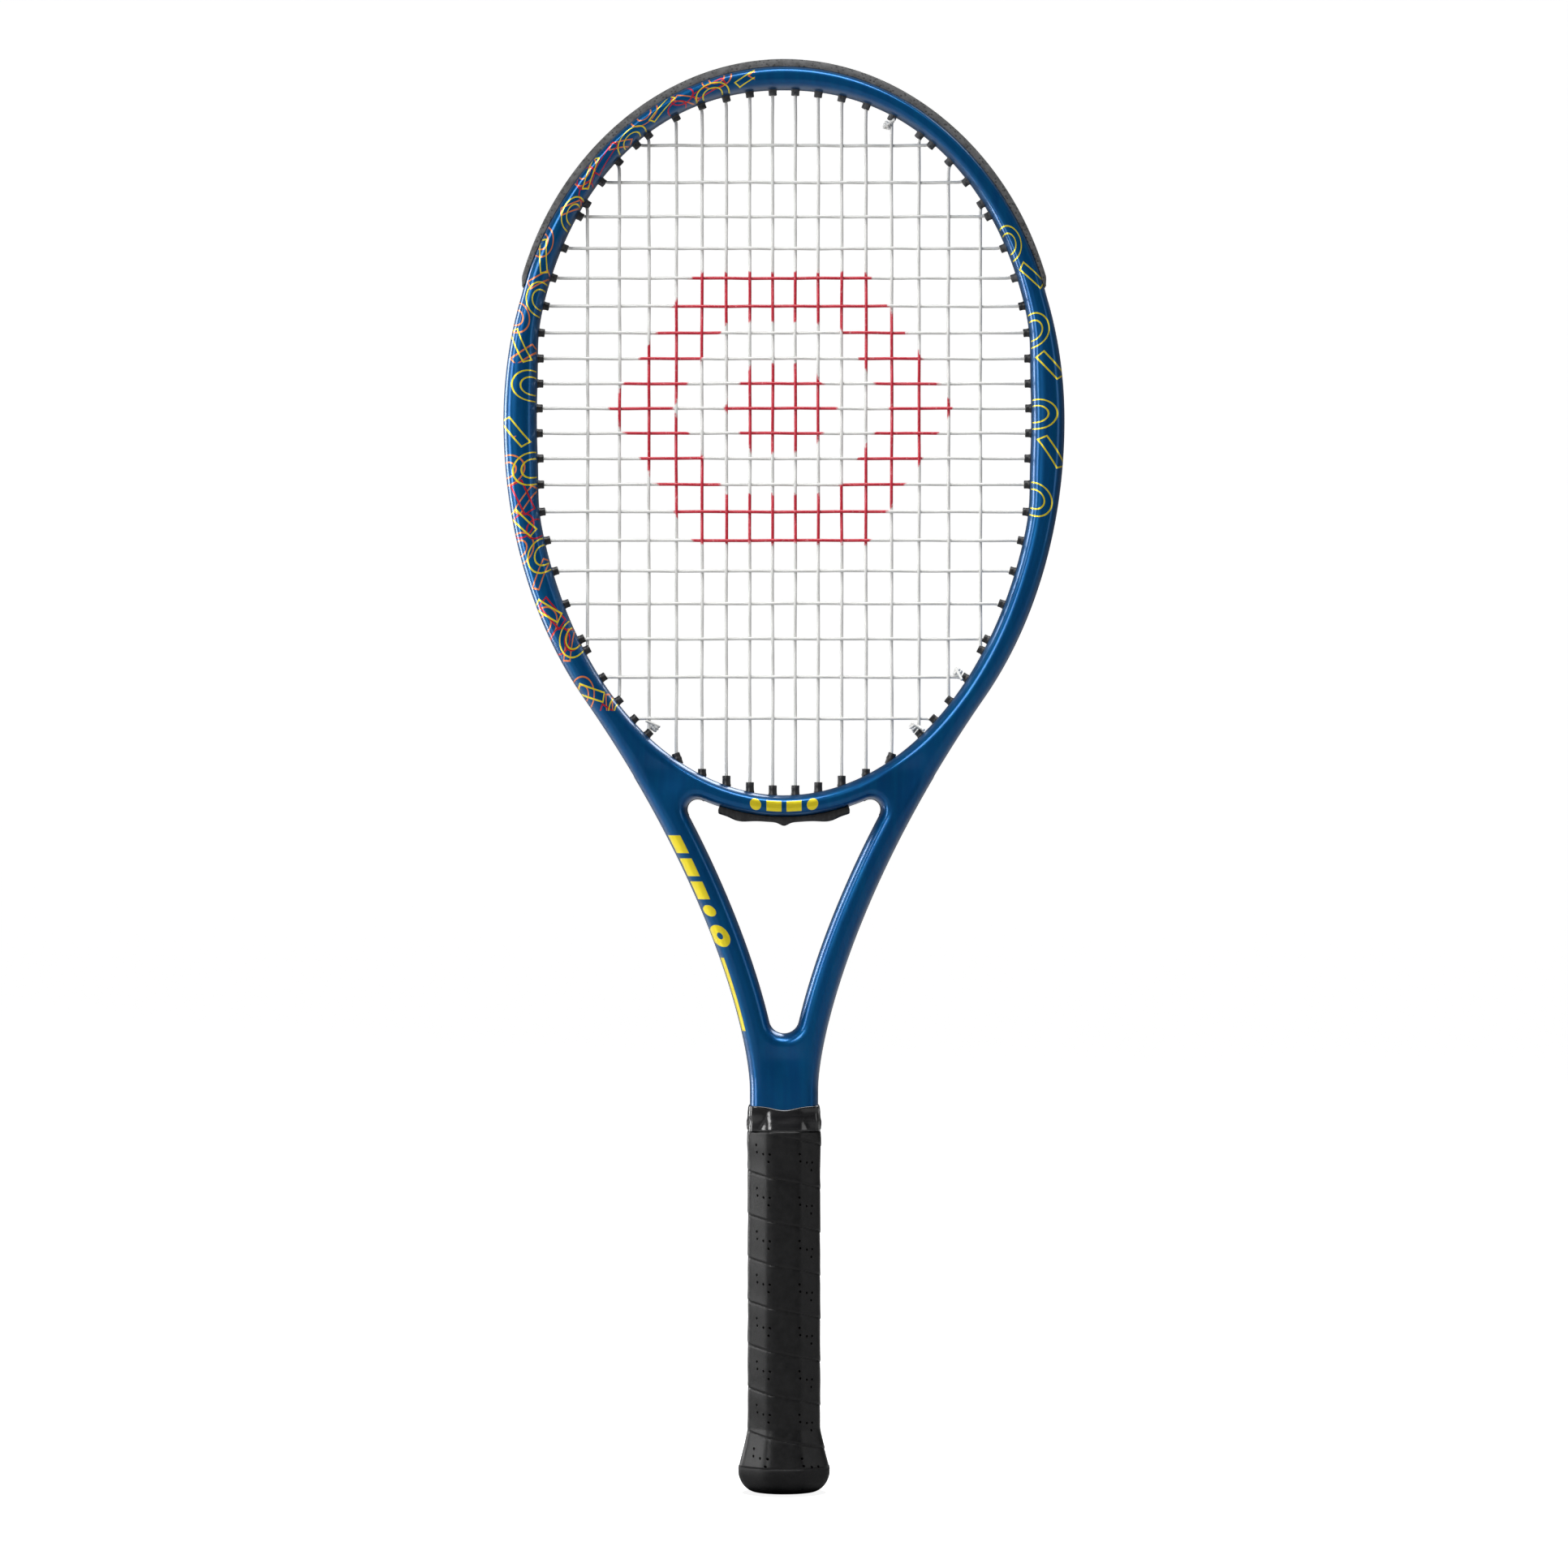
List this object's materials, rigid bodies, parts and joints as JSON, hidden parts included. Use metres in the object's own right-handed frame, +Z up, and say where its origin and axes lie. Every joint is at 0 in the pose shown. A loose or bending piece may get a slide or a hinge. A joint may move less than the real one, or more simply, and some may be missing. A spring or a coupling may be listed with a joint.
{
  "type": "tennis racket",
  "caption": "Strung tennis racket with a hollow hairpin frame, open throat, woven string bed, bumper guard and an octagonal wrapped handle with a flared butt.",
  "frame": {"origin": "middle of the flat butt end, which is the lowest point of the racket", "axes": "+Z up the racket from the butt to the crown, +X across the string bed to the right seen from the front, +Y through the string bed to the back"},
  "size_m": [0.2688, 0.039, 0.6858],
  "materials": {
    "frame_lacquer": "deep blue gloss lacquer on moulded graphite composite",
    "guard_plastic": "charcoal grey matte nylon",
    "grommet_plastic": "black satin nylon",
    "string_polymer": "off-white slightly glossy nylon string",
    "pallet_foam": "tan moulded polyurethane foam",
    "cap_plastic": "black satin moulded plastic",
    "grip_skin": "black synthetic leather, semi-matte",
    "collar_rubber": "black smooth rubber",
    "staple_steel": "bright steel wire"
  },
  "bodies": {
    "racket": {"hairpin_frame": "frame_lacquer", "throat_bridge": "frame_lacquer", "bumper_guard": "guard_plastic", "grommet_strip_left": "grommet_plastic", "grommet_strip_right": "grommet_plastic", "grommet_strip_bridge": "grommet_plastic", "corner_grommet_left": "grommet_plastic", "corner_grommet_right": "grommet_plastic", "main_string": "string_polymer", "cross_string": "string_polymer", "main_knot_left": "string_polymer", "main_knot_right": "string_polymer", "cross_knot_start": "string_polymer", "cross_knot_end": "string_polymer", "handle_pallet_front": "pallet_foam", "handle_pallet_back": "pallet_foam", "butt_cap": "cap_plastic", "cap_staple_right": "staple_steel", "cap_staple_back": "staple_steel", "cap_staple_left": "staple_steel", "cap_staple_front": "staple_steel", "grip_wrap": "grip_skin", "grip_collar": "collar_rubber"},
    "trap_door": {"trap_door": "cap_plastic"}
  },
  "joints": [
    {"name": "trap_door_slide", "type": "slide", "parent": "racket", "child": "trap_door", "axis": [0, 0, -1], "range_m": [0, 0.008]}
  ]
}
